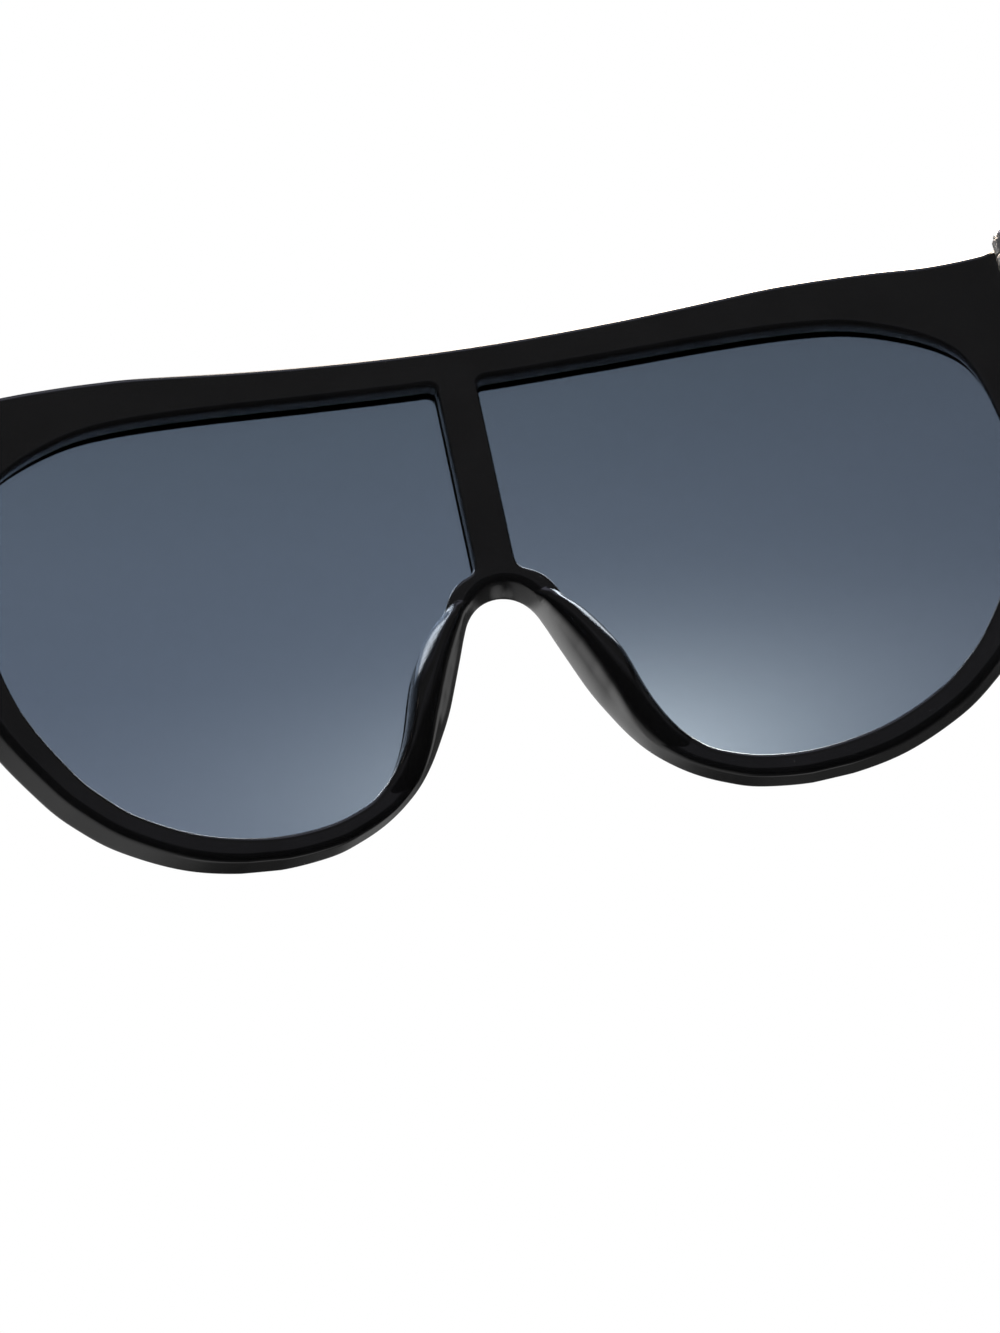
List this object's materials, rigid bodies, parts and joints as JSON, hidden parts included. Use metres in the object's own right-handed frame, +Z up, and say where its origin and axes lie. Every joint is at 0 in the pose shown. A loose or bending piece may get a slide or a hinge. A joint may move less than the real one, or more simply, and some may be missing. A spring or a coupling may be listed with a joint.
{
  "type": "sunglasses",
  "caption": "Full-rim sunglasses with a flat brow, straight centre bar, large rounded gradient lenses, nose pads and temples that fold on screwed hinges.",
  "frame": {"origin": "middle of the box's floor: under the middle of the space between the temples, on the plane that the lower rims and the temple tips stand on", "axes": "+Z up, the front faces -Y, the temples reach back to +Y, +X is the wearer's left"},
  "size_m": [0.1502, 0.163, 0.0654],
  "materials": {
    "frame_plastic": "black, satin gloss",
    "pad_plastic": "black, polished",
    "lens_tint": "clear grey-blue tint, darker at the top",
    "hinge_steel": "satin"
  },
  "bodies": {
    "front": {"frame_front": "frame_plastic", "lens_left": "lens_tint", "lens_right": "lens_tint", "nose_pad_left": "pad_plastic", "nose_pad_right": "pad_plastic", "front_hinge_left": "hinge_steel", "front_hinge_right": "hinge_steel", "front_hinge_rivet_lower_left": "hinge_steel", "front_hinge_rivet_upper_left": "hinge_steel", "front_hinge_rivet_lower_right": "hinge_steel", "front_hinge_rivet_upper_right": "hinge_steel", "hinge_screw_left": "hinge_steel", "hinge_screw_right": "hinge_steel"},
    "temple_left_arm": {"temple_left": "frame_plastic", "temple_core_left": "hinge_steel", "temple_hinge_left": "hinge_steel", "temple_hinge_rivet_lower_left": "hinge_steel", "temple_hinge_rivet_upper_left": "hinge_steel"},
    "temple_right_arm": {"temple_right": "frame_plastic", "temple_core_right": "hinge_steel", "temple_hinge_right": "hinge_steel", "temple_hinge_rivet_lower_right": "hinge_steel", "temple_hinge_rivet_upper_right": "hinge_steel"}
  },
  "joints": [
    {"name": "left_temple_fold", "type": "hinge", "parent": "front", "child": "temple_left_arm", "pos_m": [0.0671, -0.05101, 0.05407], "axis": [0, 0, 1], "range_deg": [0, 92.5]},
    {"name": "right_temple_fold", "type": "hinge", "parent": "front", "child": "temple_right_arm", "pos_m": [-0.0671, -0.05101, 0.05407], "axis": [0, 0, -1], "range_deg": [0, 87.5]}
  ]
}
